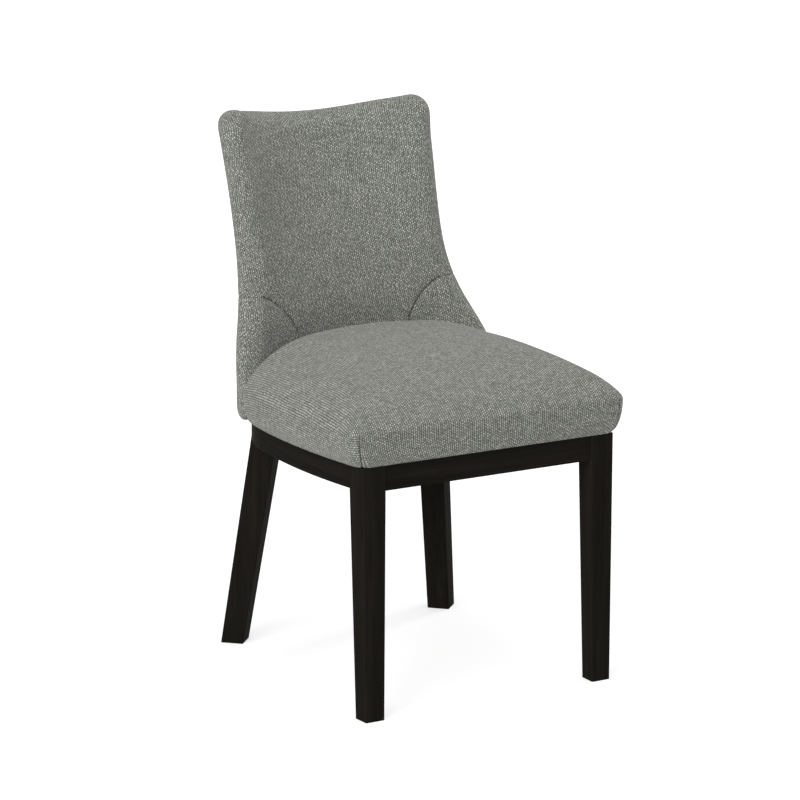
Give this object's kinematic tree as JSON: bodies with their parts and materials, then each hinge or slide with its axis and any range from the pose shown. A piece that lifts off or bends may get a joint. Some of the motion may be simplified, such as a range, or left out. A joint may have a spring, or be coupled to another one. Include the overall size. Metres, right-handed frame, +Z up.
{
  "type": "upholstered dining chair",
  "caption": "Upholstered dining chair with a crowned seat, a barrel back whose wings sweep down to the seat, and dark tapered wooden legs.",
  "frame": {"origin": "on the floor, under the middle of the chair", "axes": "+Z up, -Y the way a sitter faces, +X to the right for someone who faces the chair from the front"},
  "size_m": [0.5472, 0.6356, 0.91],
  "materials": {
    "dark_wood": "near-black espresso stain with a satin lacquer",
    "plain_wood": "unfinished hardwood",
    "plywood": "unfinished plywood",
    "steel": "zinc plated",
    "foam": "open-cell foam",
    "cover_cloth": "heathered grey-green woven upholstery cloth",
    "dust_cloth": "thin black non-woven cloth"
  },
  "bodies": {
    "root": {"front_left_leg": "dark_wood", "front_right_leg": "dark_wood", "rear_left_leg": "dark_wood", "rear_right_leg": "dark_wood", "front_apron": "dark_wood", "left_apron": "dark_wood", "right_apron": "dark_wood", "rear_apron": "dark_wood", "seat_cross_rail": "plain_wood", "front_corner_blocks": "plain_wood", "apron_dowels": "plain_wood", "corner_hanger_bolts": "steel", "corner_hanger_nuts": "steel", "rear_leg_screws": "steel", "seat_board": "plywood", "seat_foam": "foam", "seat_cover": "cover_cloth", "seat_dust_cover": "dust_cloth", "seat_screws": "steel", "back_lower_rail": "plain_wood", "back_shell": "plywood", "shell_screws": "steel", "back_bolts": "steel", "back_bolt_washers": "steel", "back_insert_nuts": "steel", "inside_back_foam": "foam", "outside_back_foam": "foam", "inside_back_cover": "cover_cloth", "left_wing_cover": "cover_cloth", "right_wing_cover": "cover_cloth", "outside_back_cover": "cover_cloth"}
  },
  "joints": []
}
